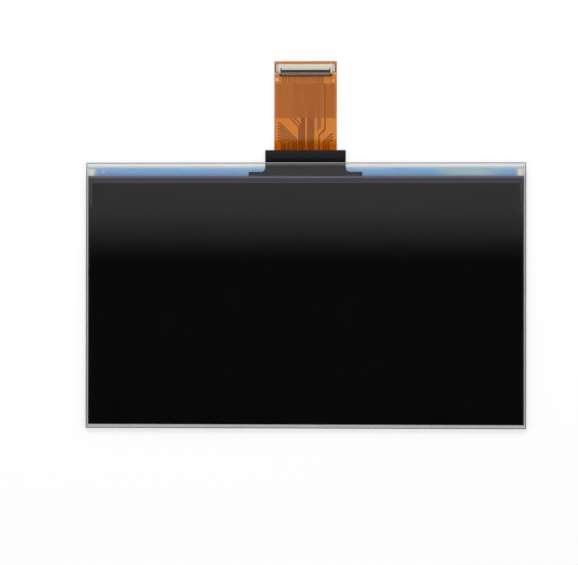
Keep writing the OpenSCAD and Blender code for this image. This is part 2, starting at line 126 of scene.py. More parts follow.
# %% [markdown]
# ## Light
# The studio is a white room. Its walls light the object evenly, so a colour renders about as it is
# written. What glossy things mirror is another matter: above the camera hangs a dark cloth, and
# beside it, toward the tail, a long soft box. The black panel shows that box as a grey veil that
# fades out halfway down, so mirror rays see the box, the cloth and the white walls lower down.

# %% The white room and the soft box
scene = bpy.context.scene
scene.view_settings.view_transform = "Standard"
# Light goes down through the cover glass and the adhesive, four faces, and up through them again
scene.cycles.transparent_max_bounces = 32
room = bpy.data.worlds.new("white_room")
scene.world = room
room.use_nodes = True
sky = room.node_tree
sky.nodes.clear()
way = add(sky, "SeparateXYZ", {0: add(sky, "TexCoord").outputs["Generated"]})
box_near = add(sky, "MapRange", {"Value": way.outputs["Y"], "From": (0.0188, 0.0508)},
               interpolation_type="SMOOTHSTEP")
box_far = add(sky, "MapRange", {"Value": way.outputs["Y"], "From": (0.122, 0.13),
                                "To": (1.0, 0.0)}, interpolation_type="SMOOTHSTEP")
soft_box = add(sky, "Math", {0: box_near, 1: box_far}, operation="MULTIPLY")
walls = add(sky, "MapRange", {"Value": way.outputs["Z"], "From": (0.93, 0.70)},
            interpolation_type="SMOOTHSTEP")
mirrored = add(sky, "Math", {0: soft_box, 1: walls}, operation="MAXIMUM")
mirrored_level = add(sky, "Math", {0: mirrored, 1: 0.72}, operation="MULTIPLY")
path = add(sky, "LightPath")
room_light = add(sky, "Background", {"Color": "#ffffff", "Strength": 0.74})
gloss_view = add(sky, "Background", {"Color": "#ffffff", "Strength": mirrored_level})
backdrop = add(sky, "Background", {"Color": "#ffffff", "Strength": 1.0})
seen = add(sky, "Math", {0: path.outputs["Is Camera Ray"], 1: path.outputs["Is Transmission Ray"]},
           operation="MAXIMUM")
lit_or_gloss = add(sky, "MixShader", {0: path.outputs["Is Glossy Ray"], 1: room_light, 2: gloss_view})
all_rays = add(sky, "MixShader", {0: seen, 1: lit_or_gloss, 2: backdrop})
add(sky, "OutputWorld", {"Surface": all_rays})

bpy.ops.object.select_all(action="DESELECT")
bpy.ops.object.light_add(type="AREA", location=(-0.12, 0.95, 1.0))
key = bpy.context.object
key.name = "key_light"
key.data.shape = "DISK"
key.data.size = 0.7
key.data.energy = 5.0
key.rotation_euler = (-key.location).to_track_quat("-Z", "Y").to_euler()
key.visible_glossy = False
print("world nodes:", len(sky.nodes), "key light in watts:", round(key.data.energy, 2))

# %% [markdown]
# ## The table
# The panel lies on a plain white table. The table is an ordinary matt white that takes the object's
# shadow. For rays from the camera, and for what metal and glass mirror, it glows just enough to
# reach the backdrop's white, so that the picture has no horizon.

# %% White table
bpy.ops.object.select_all(action="DESELECT")
bpy.ops.mesh.primitive_plane_add(size=8, location=(0, 0, -0.02 * MM))
table = bpy.context.object
table.name = "table"
table_white, tree = new_finish("matt_white_table")[:2]
path = add(tree, "LightPath")
seen = add(tree, "Math", {0: path.outputs["Is Camera Ray"], 1: path.outputs["Is Glossy Ray"]},
           operation="MAXIMUM")
seen = add(tree, "Math", {0: seen, 1: path.outputs["Is Transmission Ray"]}, operation="MAXIMUM")
glow = add(tree, "Math", {0: seen, 1: 0.28}, operation="MULTIPLY")
matt = add(tree, "BsdfDiffuse", {"Color": "#e6e6e6"})
lift = add(tree, "Emission", {"Color": "#ffffff", "Strength": glow})
both = add(tree, "AddShader", {0: matt, 1: lift})
add(tree, "OutputMaterial", {"Surface": both})
table.data.materials.append(table_white)
print("table side in m:", round(table.dimensions.x, 2))

# %% [markdown]
# ## Dressing a CAD node
# A CAD node whose shape is right keeps its mesh and only gets a finish. The finish goes into the
# object's material slot. Some finishes are only for pieces that are modelled later in this lesson.

# %% Give a finish to CAD nodes
def dress(finish, surface, *names):
    """Gives a finish its surface, and puts it on CAD nodes."""
    add(finish.node_tree, "OutputMaterial", {"Surface": surface})
    for name in names:
        if not nodes[name].material_slots:
            nodes[name].data.materials.append(finish)
        for slot in nodes[name].material_slots:
            slot.material = finish
    print(finish.name, "on", ", ".join(names) or "new pieces")


print("nodes to dress:", len(nodes))

# %% [markdown]
# ## Cover glass
# Cover glass is float glass, cut and then ground along its edges. Its faces are clear and mirror a
# few percent of the room. Its rim is frosted by the grinding wheel, and the light that the rim
# scatters shows as a grey haze in the last two millimetres. The plate is so thin that bending the
# light would only cost render time, so it is clear, and mirrors more at a slant, where a ray comes in
# from outside. Over the dark film that mirror is left to the film, which renders with less noise.

# %% Haze along a ground edge
def inside(tree, place, half, from_y, to_y):
    """How far a point lies inside a rectangle that is centred across the panel, in metres."""
    side = add(tree, "Math", {0: place.outputs["X"]}, operation="ABSOLUTE")
    across = add(tree, "Math", {0: half, 1: side}, operation="SUBTRACT")
    above = add(tree, "Math", {0: to_y, 1: place.outputs["Y"]}, operation="SUBTRACT")
    below = add(tree, "Math", {0: place.outputs["Y"], 1: from_y}, operation="SUBTRACT")
    ends = add(tree, "Math", {0: above, 1: below}, operation="MINIMUM")
    return add(tree, "Math", {0: across, 1: ends}, operation="MINIMUM")


def flatness(tree):
    """How flat a face lies: 1 where it points straight up or down, and 0 where it stands upright."""
    facing = add(tree, "SeparateXYZ", {0: add(tree, "NewGeometry").outputs["True Normal"]})
    return add(tree, "Math", {0: facing.outputs["Z"]}, operation="ABSOLUTE")


glass_low, glass_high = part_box("cover_glass")
film_low, film_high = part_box("front_polarizer")
cover_glass, tree, spot = new_finish("float_glass_ground_edge")
place = add(tree, "SeparateXYZ", {0: spot})
rim = inside(tree, place, glass_high.x, glass_low.y, glass_high.y)
# The haze is densest at the rim and gone 1.9 mm inside it. Beside the black films it is darker, which is
# painted shade of the table under the plate's overhang. Along the clear edge over the ledge it is
# lighter, and it also thins out sooner
over_ledge = add(tree, "MapRange",
                 {"Value": place.outputs["Y"], "From": (film_high.y, film_high.y + 4 * MM)})
thin = add(tree, "MapRange", {"Value": over_ledge, "To": (0.22, 0.12)})
haze = add(tree, "MapRange", {"Value": rim, "From": (0.2 * MM, 0.7 * MM), "To": (0.85, thin)},
           interpolation_type="SMOOTHSTEP")
haze_end = add(tree, "MapRange", {"Value": rim, "From": (1.0 * MM, 1.9 * MM), "To": (1.0, 0.0)},
               interpolation_type="SMOOTHSTEP")
haze = add(tree, "Math", {0: haze, 1: haze_end}, operation="MULTIPLY")
inward = add(tree, "MapRange", {"Value": rim, "From": (0.3 * MM, 0.9 * MM)})
pale = add(tree, "ValToRGB", {"Fac": inward}, stops=[(0.0, "#828282"), (1.0, "#b2b0b0")])
# Painted shade: the frost is darker beside the films than over the ledge
haze_and_shade_tint = add(tree, "Mix", {0: over_ledge, 6: "#6c6c6c", 7: pale}, data_type="RGBA")
print("nodes for the haze:", len(tree.nodes))

# %% Clear plate, its glue line and its frosted rim
geometry = add(tree, "NewGeometry")
outside = add(tree, "Math", {0: 1.0, 1: geometry.outputs["Backfacing"]}, operation="SUBTRACT")
over_film = inside(tree, place, film_high.x, film_low.y, film_high.y)
beside = add(tree, "Math", {0: over_film, 1: 0.0}, operation="LESS_THAN")
bare = add(tree, "Math", {0: outside, 1: beside}, operation="MULTIPLY")
mirror_share = add(tree, "Math", {0: add(tree, "Fresnel", {"IOR": 1.52}), 1: bare}, operation="MULTIPLY")
# Just past the ledge, a strip of the plate is tinted a little darker and bluer
ledge_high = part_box("array_glass")[1]
past_ledge_strip = add(tree, "MapRange",
            {"Value": place.outputs["Y"], "From": (ledge_high.y - 0.4 * MM, ledge_high.y + 1.6 * MM)})
clear_tint = add(tree, "ValToRGB", {"Fac": past_ledge_strip},
                 stops=[(0.1, "#fcfcfc"), (0.66, "#fcfcfc"), (0.22, "#e9edef"), (0.34, "#e9edef")])
clear = add(tree, "BsdfTransparent", {"Color": clear_tint})
gloss = add(tree, "BsdfGlossy", {"Color": "#ffffff", "Roughness": 0.01})
pane = add(tree, "MixShader", {0: mirror_share, 1: clear, 2: gloss})
# Along both sides the film's dark glue stands out a little, on the underside of the plate
glue_out = 0.32 * MM
glued = inside(tree, place, film_high.x + glue_out, film_low.y, film_high.y)
glued = add(tree, "MapRange", {"Value": glued, "From": (-0.05 * MM, 0.05 * MM)})
glued = add(tree, "Math", {0: glued, 1: beside}, operation="MULTIPLY")
glued = add(tree, "Math", {0: glued, 1: geometry.outputs["Backfacing"]}, operation="MULTIPLY")
glue = add(tree, "BsdfPrincipled", {"Base Color": "#0b0b0c", "Roughness": 0.4})
pane = add(tree, "MixShader", {0: glued, 1: pane, 2: glue})
frost = add(tree, "BsdfPrincipled", {"Base Color": haze_and_shade_tint, "Roughness": 0.55})
hazy = add(tree, "MixShader", {0: haze, 1: pane, 2: frost})
ground = add(tree, "Math", {0: flatness(tree), 1: 0.95}, operation="LESS_THAN")
ground_share = add(tree, "Math", {0: ground, 1: 0.7}, operation="MULTIPLY")
# Painted shade: the ground faces are darker beside the films than over the ledge
ground_and_shade_tint = add(tree, "Mix", {0: over_ledge, 6: "#b4b6b6", 7: "#d0d2d2"}, data_type="RGBA")
ground_face = add(tree, "BsdfPrincipled", {"Base Color": ground_and_shade_tint, "Roughness": 0.6})
edged = add(tree, "MixShader", {0: ground_share, 1: hazy, 2: ground_face})
dress(cover_glass, edged, "cover_glass")

# %% [markdown]
# ## Cell glass
# The two inner sheets are thin display glass, scribed and snapped, so their edges are bright and
# slightly green. On the ledge the lower sheet carries rows of metal lines, finer than a hair,
# that run from the picture to the driver chips. They are drawn coarser here, so that they show.

# %% Display glass with lines on its ledge
# A wave texture of scale 1 repeats every pi / 10, so this over a spacing gives the scale for it
WAVE = math.pi / 10
cell_glass, tree, spot = new_finish("display_glass_snapped_edge")
place = add(tree, "SeparateXYZ", {0: spot})
edge = add(tree, "MapRange", {"Value": flatness(tree), "From": (0.95, 0.9), "To": (0.03, 0.55)})
lines = add(tree, "TexWave", {"Vector": spot, "Scale": WAVE / (0.6 * MM), "Distortion": 0.0},
            bands_direction="X", wave_profile="TRI")
# The ledge's clear ends, past the sealant, have no lines
bead_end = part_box("ledge_sealant_right")[1].x
on_ledge = inside(tree, place, bead_end, ledge_high.y - 4.0 * MM, ledge_high.y + 1.0 * MM)
on_ledge = add(tree, "Math", {0: on_ledge, 1: 0.0}, operation="GREATER_THAN")
line_share = add(tree, "MapRange",
                 {"Value": lines.outputs["Fac"], "From": (0.55, 0.75), "To": (0.0, 0.22)})
line_share = add(tree, "Math", {0: line_share, 1: on_ledge}, operation="MULTIPLY")
# The blue sealant wets the last half millimetre of the ledge
wetted = add(tree, "MapRange",
             {"Value": place.outputs["Y"], "From": (ledge_high.y - 0.65 * MM, ledge_high.y - 0.5 * MM)})
wet_share = add(tree, "Math", {0: wetted, 1: 0.35}, operation="MULTIPLY")
line_share = add(tree, "Math", {0: line_share, 1: wet_share}, operation="MAXIMUM")
share = add(tree, "Math", {0: edge, 1: line_share}, operation="MAXIMUM")
tint = add(tree, "Mix", {0: wetted, 6: "#869698", 7: "#c8dcf2"}, data_type="RGBA")
clear = add(tree, "BsdfTransparent", {"Color": "#f8f9f8"})
body = add(tree, "BsdfPrincipled", {"Base Color": tint, "Roughness": 0.25})
mixed = add(tree, "MixShader", {0: share, 1: clear, 2: body})
# The upper sheet ends in front of the black tape, which darkens its edge there
tape_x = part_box("shield_tape")[1].x
by_tape = inside(tree, place, tape_x, film_high.y - 0.05 * MM, film_high.y + 0.6 * MM)
by_tape = add(tree, "Math", {0: by_tape, 1: 0.0}, operation="GREATER_THAN")
by_tape = add(tree, "Math", {0: by_tape, 1: 0.9}, operation="MULTIPLY")
dark = add(tree, "BsdfPrincipled", {"Base Color": "#29292b", "Roughness": 0.4})
mixed = add(tree, "MixShader", {0: by_tape, 1: mixed, 2: dark})
dress(cell_glass, mixed, "array_glass", "counter_glass")

# %% [markdown]
# ## Polarizing film, front
# The front film is a dark laminate, bonded under the cover glass with clear adhesive. It and the
# glass mirror as one sheet, so it carries the glass's polish here. Over the picture it is almost
# black. Round the picture the pale seal shows through as a border with a light inner line, and along
# the ledge light leaks in from the clear glass and tints that border violet.

# %% Polarizer over the picture
def mottle(tree, way, size, detail, dark, light, spread=0.2):
    """Noise with clouds of a real size, and its tint from a dark colour to a light one."""
    noise = add(tree, "TexNoise", {"Vector": way, "Scale": 1 / size, "Detail": detail}).outputs["Fac"]
    tint = add(tree, "ValToRGB", {"Fac": noise}, stops=[(0.5 - spread, dark), (0.5 + spread, light)])
    return noise, tint


pic_low, pic_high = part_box("liquid_crystal")
front_film, tree, spot = new_finish("polarizer_film_under_glass")
place = add(tree, "SeparateXYZ", {0: spot})
to_picture = inside(tree, place, pic_high.x, pic_low.y, pic_high.y)
in_picture = add(tree, "MapRange", {"Value": to_picture, "From": (-0.1 * MM, 0.1 * MM)})
by_picture = add(tree, "MapRange", {"Value": to_picture, "From": (-0.7 * MM, -0.4 * MM)})
from_top = add(tree, "Math", {0: film_high.y, 1: place.outputs["Y"]}, operation="SUBTRACT")
in_film = add(tree, "MapRange", {"Value": from_top, "From": (0.6 * MM, 1.1 * MM)})
leak = add(tree, "MapRange",
           {"Value": place.outputs["Y"], "From": (pic_high.y - 17.5 * MM, pic_high.y)},
           interpolation_type="SMOOTHSTEP")
# Faint clouds about 15 mm across, as in every large sheet of film
black = mottle(tree, spot, 15 * MM, 3.0, "#0a0a0b", "#0d0d0d")[1]
along_ledge = add(tree, "MapRange",
                  {"Value": place.outputs["Y"], "From": (pic_high.y - 1.5 * MM, pic_high.y + 0.5 * MM)})
leaked = add(tree, "Mix", {0: along_ledge, 6: "#373536", 7: "#3b3247"}, data_type="RGBA")
border, cut_edge, inner_line = [
    add(tree, "Mix", {0: leak, 6: dark, 7: leaky}, data_type="RGBA")
    for dark, leaky in (("#0b0b0b", leaked), ("#1e1e1f", "#68686d"), ("#121212", "#424142"))]
seal_tint = add(tree, "Mix", {0: by_picture, 6: border, 7: inner_line}, data_type="RGBA")
margin = add(tree, "Mix", {0: in_film, 6: cut_edge, 7: seal_tint}, data_type="RGBA")
shade = add(tree, "Mix", {0: in_picture, 6: margin, 7: black}, data_type="RGBA")
film = add(tree, "BsdfPrincipled", {"Base Color": shade, "Roughness": 0.02, "IOR": 1.52})
dress(front_film, film, "front_polarizer")

# %% [markdown]
# ## Polarizing film, rear
# The rear film faces the printer's lamp. It is the same dark laminate with a fine anti-glare coat,
# which breaks reflections up into a soft grain.

# %% Polarizer with an anti-glare coat
rear_film, tree, spot = new_finish("polarizer_film_anti_glare")
# The coat's grain is about 0.05 mm; it is drawn at 0.3 mm, so that it shows
grain, tint = mottle(tree, spot, 0.3 * MM, 2.0, "#141417", "#1b1b20", spread=0.15)
bumps = add(tree, "Bump", {"Height": grain, "Strength": 0.15, "Distance": 0.01 * MM})
film = add(tree, "BsdfPrincipled", {"Base Color": tint, "Roughness": 0.42, "Normal": bumps})
dress(rear_film, film, "rear_polarizer")

# %% [markdown]
# ## Inside the cell
# Liquid crystal fills the gap between the two sheets, and a frame of grey epoxy seals it. Both only
# show at the panel's sides, between the sheets. The clear adhesive above them shows there too, as
# a slightly milky line.

# %% Liquid crystal, seal and clear adhesive
def speckle(tree, spot, size, *stops):
    """The tint of beads or dots of a real size, from their middles outward."""
    beads = add(tree, "TexVoronoi", {"Vector": spot, "Scale": 1 / size})
    return add(tree, "ValToRGB", {"Fac": beads.outputs["Distance"]}, stops=stops)


crystal, tree, spot = new_finish("liquid_crystal_dark")
tint = mottle(tree, spot, 8 * MM, 2.0, "#0e0e13", "#15151c")[1]
fluid = add(tree, "BsdfPrincipled", {"Base Color": tint, "Roughness": 0.2})
dress(crystal, fluid, "liquid_crystal")

seal, tree, spot = new_finish("epoxy_seal_grey")
# Glass beads in the epoxy are a few thousandths of a millimetre; they are drawn at 0.12 mm
tint = speckle(tree, spot, 0.12 * MM, (0.1, "#6a6a72"), (0.5, "#46464e"))
epoxy = add(tree, "BsdfPrincipled", {"Base Color": tint, "Roughness": 0.5})
dress(seal, epoxy, "cell_seal")

adhesive, tree, spot = new_finish("clear_adhesive_acrylic")
edge = add(tree, "MapRange", {"Value": flatness(tree), "From": (0.95, 0.9), "To": (0.0, 0.6)})
tint = mottle(tree, spot, 0.8 * MM, 3.0, "#c9cfd0", "#e6eaea")[1]
milky = add(tree, "BsdfPrincipled", {"Base Color": tint, "Roughness": 0.3})
clear = add(tree, "BsdfTransparent", {"Color": "#ffffff"})
mixed = add(tree, "MixShader", {0: edge, 1: clear, 2: milky})
dress(adhesive, mixed, "adhesive_sheet")

# %% [markdown]
# ## Driver chips and bond
# The chips are bare silicon, thinned from the back by grinding, so they are dark mirrors with faint
# grinding marks. The tail is bonded to the ledge by a tan film full of tiny conducting beads.

# %% Silicon and bonding film
silicon, tree, spot = new_finish("silicon_ground_back")
stretched = add(tree, "Mapping", {"Vector": spot, "Scale": (0.15, 1.0, 1.0),
                                  "Rotation": (0.0, 0.0, math.radians(24))})
# Grinding marks are a few thousandths of a millimetre apart; they are drawn at 0.1 mm
tint = mottle(tree, stretched, 0.1 * MM, 2.0, "#54575c", "#6b6f75")[1]
chip = add(tree, "BsdfPrincipled", {"Base Color": tint, "Metallic": 1.0, "Roughness": 0.22})
dress(silicon, chip, "driver_chip_left", "driver_chip_right")

bonding, tree, spot = new_finish("bonding_film_with_beads")
# The beads are about 0.004 mm; they are drawn at 0.1 mm
tint = speckle(tree, spot, 0.1 * MM, (0.12, "#8a7f68"), (0.3, "#b9b09b"))
resin = add(tree, "BsdfPrincipled", {"Base Color": tint, "Roughness": 0.35})
dress(bonding, resin, "bond_strip")

# %% [markdown]
# ## Blue sealant
# The bare ledge is sealed with a blue resin that is laid on with a needle and cured under a lamp.
# It is a flat bead, strongest in colour along its middle. Across it the colour runs from greyer where
# it meets the film to pale at its thin outer lip, partly the resin's own colour and partly painted
# shade and a painted highlight on its crown. Along its length the colour drifts between violet and
# cyan, and one stretch near the right end is a pale grey-green. A bubble sits in the left end.

# %% Cured blue resin
bead_low, bead_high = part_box("ledge_sealant_left")
blue_resin, tree, spot = new_finish("uv_cured_blue_resin")
place = add(tree, "SeparateXYZ", {0: spot})
# The drift along the bead has waves of about 9 mm, drawn out along X
drawn_out = add(tree, "Mapping", {"Vector": spot, "Scale": (0.12, 1.0, 1.0)})
drift = add(tree, "TexNoise", {"Vector": drawn_out, "Scale": 1 / (1.4 * MM),
                               "Detail": 3.0, "Roughness": 0.55})
wander = add(tree, "MapRange", {"Value": drift.outputs["Fac"], "From": (0.25, 0.75), "To": (-0.14, 0.14)})
# Across the bead: greyer at the film side and pale at the outer lip, partly painted shade and a painted
# highlight
across = add(tree, "MapRange", {"Value": place.outputs["Y"], "From": (bead_low.y, bead_high.y)})
profile = add(tree, "Math", {0: across, 1: wander}, operation="ADD")
middle = add(tree, "ValToRGB", {"Fac": profile},
             stops=[(0.0, "#919bc7"), (1.0, "#cddef7"), (0.14, "#6c97cd"), (0.32, "#6cacdf"),
                    (0.55, "#79b7e8"), (0.78, "#87b9ea"), (0.9, "#a2c2ea")])
# Patches of violet and cyan, 10 mm and more along the bead
patch_way = add(tree, "Mapping", {"Vector": spot, "Scale": (0.3, 1.0, 1.0)})
hue = mottle(tree, patch_way, 4 * MM, 1.0, "#8f9fe6", "#62bedc", spread=0.14)[1]
toned = add(tree, "Mix", {0: 0.28, 6: middle, 7: hue}, data_type="RGBA")
stretch = add(tree, "MapRange",
              {"Value": place.outputs["X"], "From": (bead_end - 43.7 * MM, bead_end - 1.7 * MM)})
grey_share = add(tree, "ValToRGB", {"Fac": stretch},
                 stops=[(0.0, "#000000"), (1.0, "#1c1c1c"), (0.28, "#c8c8c8"), (0.6, "#d4d4d4"),
                        (0.86, "#5c5c5c")])
toned = add(tree, "Mix", {0: grey_share, 6: toned, 7: "#bacfc9"}, data_type="RGBA")
bubble_at = bead_low + Vector((4.9 * MM, 1.6 * MM, 0.1 * MM))
to_bubble = add(tree, "VectorMath", {0: spot, 1: bubble_at}, operation="DISTANCE")
bubble = add(tree, "MapRange", {"Value": to_bubble, "From": (0.9 * MM, 0.4 * MM), "To Max": 0.6})
toned = add(tree, "Mix", {0: bubble, 6: toned, 7: "#d5cfe6"}, data_type="RGBA")
# The resin runs thin at the beads' outer ends and turns a pale lilac
sideways = add(tree, "Math", {0: place.outputs["X"]}, operation="ABSOLUTE")
ending = add(tree, "MapRange",
             {"Value": sideways, "From": (bead_end - 2.2 * MM, bead_end - 0.6 * MM), "To Max": 0.65})
toned = add(tree, "Mix", {0: ending, 6: toned, 7: "#c2bdd4"}, data_type="RGBA")
ripple = add(tree, "Bump", {"Height": drift.outputs["Fac"], "Strength": 0.3, "Distance": 0.05 * MM})
resin = add(tree, "BsdfPrincipled", {"Base Color": toned, "Roughness": 0.22, "Normal": ripple})
dress(blue_resin, resin)

# %% [markdown]
# ## Sealant beads
# A needle lays the resin along the ledge, and it settles before the lamp cures it: high along its
# middle, thin at its lips, with a slanted, rounded end and a lip that wanders a little. It could be
# a curve with a bevel, but the bead also has to leave room for the chip. So a cube is cut into
# rows and stations by bisecting planes, its rows are lifted into a crown, and the chip's room is
# cut out of it. One bead is modelled, and the other is its mirror image.

# %% Start a piece, and pick its points
def pick(piece):
    """Selects one piece alone, and makes it the active one."""
    bpy.ops.object.select_all(action="DESELECT")
    piece.select_set(True)
    bpy.context.view_layer.objects.active = piece


def start_copy(name, source):
    """Adds a piece with a copy of another one's mesh, and picks it."""
    piece = bpy.data.objects.new(name, source.data.copy())
    scene.collection.objects.link(piece)
    pick(piece)
    return piece


def start_cube(name, low, high):
    """Adds a cube that fills a box, with its place in its mesh, and opens it in edit mode."""
    bpy.ops.object.select_all(action="DESELECT")
    bpy.ops.mesh.primitive_cube_add(size=1, location=[(a + b) / 2 for a, b in zip(low, high)])
    piece = bpy.context.object
    piece.name = name
    piece.scale = [b - a for a, b in zip(low, high)]
    bpy.ops.object.transform_apply(location=True, rotation=True, scale=True)
    bpy.ops.object.mode_set(mode="EDIT")
    bpy.ops.mesh.select_mode(type="VERT")
    return piece


def cut(axis, places):
    """Cuts the piece in edit mode across an axis, at each of some places along it."""
    for place in places:
        bpy.ops.mesh.select_all(action="SELECT")
        bpy.ops.mesh.bisect(plane_co=[place * way for way in axis], plane_no=axis)


def shift(test, move):
    """Moves the points of the piece in edit mode whose place passes a test."""
    cage = bmesh.from_edit_mesh(bpy.context.object.data)
    for point in cage.verts:
        point.select_set(test(point.co))
    cage.select_flush_mode()
    bpy.ops.transform.translate(value=move)


def finish_piece(piece, finish, slot, *replaced, body="panel", angle=35):
    """Leaves edit mode, smooths the piece, gives it its finish, attaches it to its body and hides the CAD
    nodes it replaces.
    """
    bpy.ops.object.mode_set(mode="OBJECT")
    pick(piece)
    bpy.ops.object.shade_smooth_by_angle(angle=math.radians(angle))
    piece.data.materials.clear()
    piece.data.materials.append(finish)
    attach(piece, body)
    if replaced:
        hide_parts(*replaced)
    print(piece.name, "has", len(piece.data.polygons), "faces")


print("pieces start from:", start_cube.__name__, "or", start_copy.__name__)

# %% The right-hand bead
low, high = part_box("ledge_sealant_right")
chip_low, chip_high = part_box("driver_chip_right")
long, wide, tall = high - low
near = 0.001 * MM
bead = start_cube("sealant_bead_right", low, high)
# Each row's share of the width, and its height as a share of the bead's
rows = {0.0: 0.55, 0.1: 0.85, 0.3: 1.0, 0.6: 0.97, 0.85: 0.72, 1.0: 0.25}
stations = 44
slant, end_long, end_drop, wander_half = 1.4 * MM, 1.5 * MM, 0.2 * tall, 0.07 * MM
cut((0, 1, 0), [low.y + across * wide for across in rows if 0 < across < 1])
cut((1, 0, 0), [low.x + long * step / stations for step in range(1, stations)])
for across, share in rows.items():
    row_y_here = low.y + across * wide
    shift(lambda p: abs(p.y - row_y_here) < near and p.z > high.z - near, (0, 0, (share - 1) * tall))
    # The end slants back over the bead's width
    shift(lambda p: abs(p.y - row_y_here) < near and p.x > high.x - near, (-slant * across, 0, 0))
shift(lambda p: p.x > high.x - end_long and p.z > low.z + near, (0, 0, -end_drop))
# The outer lip wanders in, by waves that don't repeat
for step in range(1, stations):
    station_x = low.x + long * step / stations
    wander_in = wander_half * (1 + math.sin(1.9 * step) * math.cos(0.7 * step))
    shift(lambda p: abs(p.x - station_x) < near and p.y > high.y - near, (0, -wander_in, 0))
bpy.ops.object.mode_set(mode="OBJECT")
print(bead.name, "in", stations, "stations of", len(rows), "rows")

# %% Room for the chip, and the left-hand bead
room_gap = 0.06 * MM
cutter = start_cube("chip_room", chip_low - Vector((room_gap, room_gap, 1 * MM)),
                    chip_high + Vector((room_gap, room_gap, 1 * MM)))
bpy.ops.object.mode_set(mode="OBJECT")
pick(bead)
hollow = bead.modifiers.new("chip_room", "BOOLEAN")
hollow.operation, hollow.solver, hollow.object = "DIFFERENCE", "EXACT", cutter
bpy.ops.object.modifier_apply(modifier=hollow.name)
bpy.data.objects.remove(cutter)
mirror_bead = start_copy("sealant_bead_left", bead)
mirror_bead.scale.x = -1
bpy.ops.object.transform_apply(location=True, rotation=True, scale=True)
bpy.ops.object.mode_set(mode="EDIT")
bpy.ops.mesh.select_all(action="SELECT")
bpy.ops.mesh.normals_make_consistent(inside=False)
finish_piece(mirror_bead, blue_resin, "blue_sealant", "ledge_sealant_left")
finish_piece(bead, blue_resin, "blue_sealant", "ledge_sealant_right")

# %% [markdown]
# ## Flexible tail
# The tail is polyimide film with copper conductors, under a second polyimide film that covers them.
# Polyimide is a clear deep amber. The base film is shown as an opaque amber: bright where it lies on
# the white table, browner where a copper plane lies behind it, and deeper where it lifts off the table
# toward the ledge, which is painted shade, as no light comes back through it there. Along the
# soldered row it is a dark brown, which below the row, under the cover film, is a painted shadow of
# the connector. The cover film is a clear amber sheet: it tints the copper under it, and its gloss
# lays the soft box's veil over the flat tail.

# %% Amber base film
def over_plane(tree, place, wider, share):
    """Reaches a share over the copper plane, or over a wider one, and fades out at its edges."""
    to_plane = inside(tree, place, plane_high.x + wider, plane_low.y, plane_high.y)
    return add(tree, "MapRange", {"Value": to_plane, "From": (-0.12 * MM, 0.12 * MM), "To Max": share})


plane_low, plane_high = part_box("flex_ground_plane")
bend_y = glass_high.y + 14.5 * MM
row_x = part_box("connector_housing")[1].x
row_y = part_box("connector_contacts")[0].y
tab_low, tab_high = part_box("solder_tab_right")
base_film, tree, spot = new_finish("polyimide_film_amber")
place = add(tree, "SeparateXYZ", {0: spot})
# Glue that was pressed out beside the plane browns the film's margins there too, by half as much
backed = add(tree, "Math", {0: over_plane(tree, place, 0.0, 1.0),
                            1: over_plane(tree, place, 5 * MM, 0.45)}, operation="MAXIMUM")
# Painted shade where the film lifts off the table toward the ledge, and no light comes back through it
lifted_shade = add(tree, "MapRange",
             {"Value": place.outputs["Y"], "From": (bend_y - 0.5 * MM, bend_y - 6.5 * MM)},
             interpolation_type="SMOOTHSTEP")
# Rolling marks in the film, about 3 mm wide and drawn out along the tail
rolled = add(tree, "Mapping", {"Vector": spot, "Scale": (1.0, 0.2, 1.0)})
marks, open_tint = mottle(tree, rolled, 3 * MM, 4.0, "#daa44e", "#e3ae5a")
backed_tint = add(tree, "ValToRGB", {"Fac": marks}, stops=[(0.3, "#b67f32"), (0.7, "#c08a38")])
tint = add(tree, "Mix", {0: backed, 6: open_tint, 7: backed_tint}, data_type="RGBA")
tint = add(tree, "Mix", {0: lifted_shade, 6: tint, 7: "#be7520"}, data_type="RGBA")
print("nodes for the film's ambers:", len(tree.nodes))

# %% The window in the cover film, and the stain of the flux
# The end strip in front of the connector is a little greyer
end_strip = add(tree, "MapRange",
                {"Value": place.outputs["Y"], "From": (tab_high.y + 0.4 * MM, tab_high.y + 0.6 * MM)})
tint = add(tree, "Mix", {0: end_strip, 6: tint, 7: "#d4b0b6"}, data_type="RGBA")
# The cover film has a window round the connector, its tabs and its pads, where the bare film is redder
window_gap = 0.2 * MM
window_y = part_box("connector_housing")[1].y + window_gap
bare_row = inside(tree, place, row_x + window_gap, row_y - 0.45 * MM, window_y)
bare_tabs = inside(tree, place, tab_high.x + window_gap, tab_low.y - 0.8 * MM, window_y)
bare = add(tree, "Math", {0: bare_row, 1: bare_tabs}, operation="MAXIMUM")
bare = add(tree, "Math", {0: bare, 1: 0.0}, operation="GREATER_THAN")
tint = add(tree, "Mix", {0: bare, 6: tint, 7: "#c67a3c"}, data_type="RGBA")
# The film is darkened brown along the row of pads and round the tabs; below the row, under the cover
# film, this is a painted shadow of the connector
near_row = inside(tree, place, row_x - 0.5 * MM, row_y - 0.4 * MM, row_y + 0.8 * MM)
near_tabs = inside(tree, place, tab_high.x + 0.45 * MM, tab_low.y - 0.2 * MM, tab_high.y + 0.1 * MM)
soldered = add(tree, "Math", {0: near_row, 1: near_tabs}, operation="MAXIMUM")
brown_and_shadow = add(tree, "MapRange", {"Value": soldered, "From": (-0.3 * MM, 0.3 * MM)},
            interpolation_type="SMOOTHSTEP")
tint = add(tree, "Mix", {0: brown_and_shadow, 6: tint, 7: "#5c3014"}, data_type="RGBA")
film = add(tree, "BsdfPrincipled", {"Base Color": tint, "Roughness": 0.35, "Specular IOR Level": 0.0})
dress(base_film, film, "flex_film")

# %% Amber cover film
cover_film, tree, spot = new_finish("polyimide_coverlay_clear")
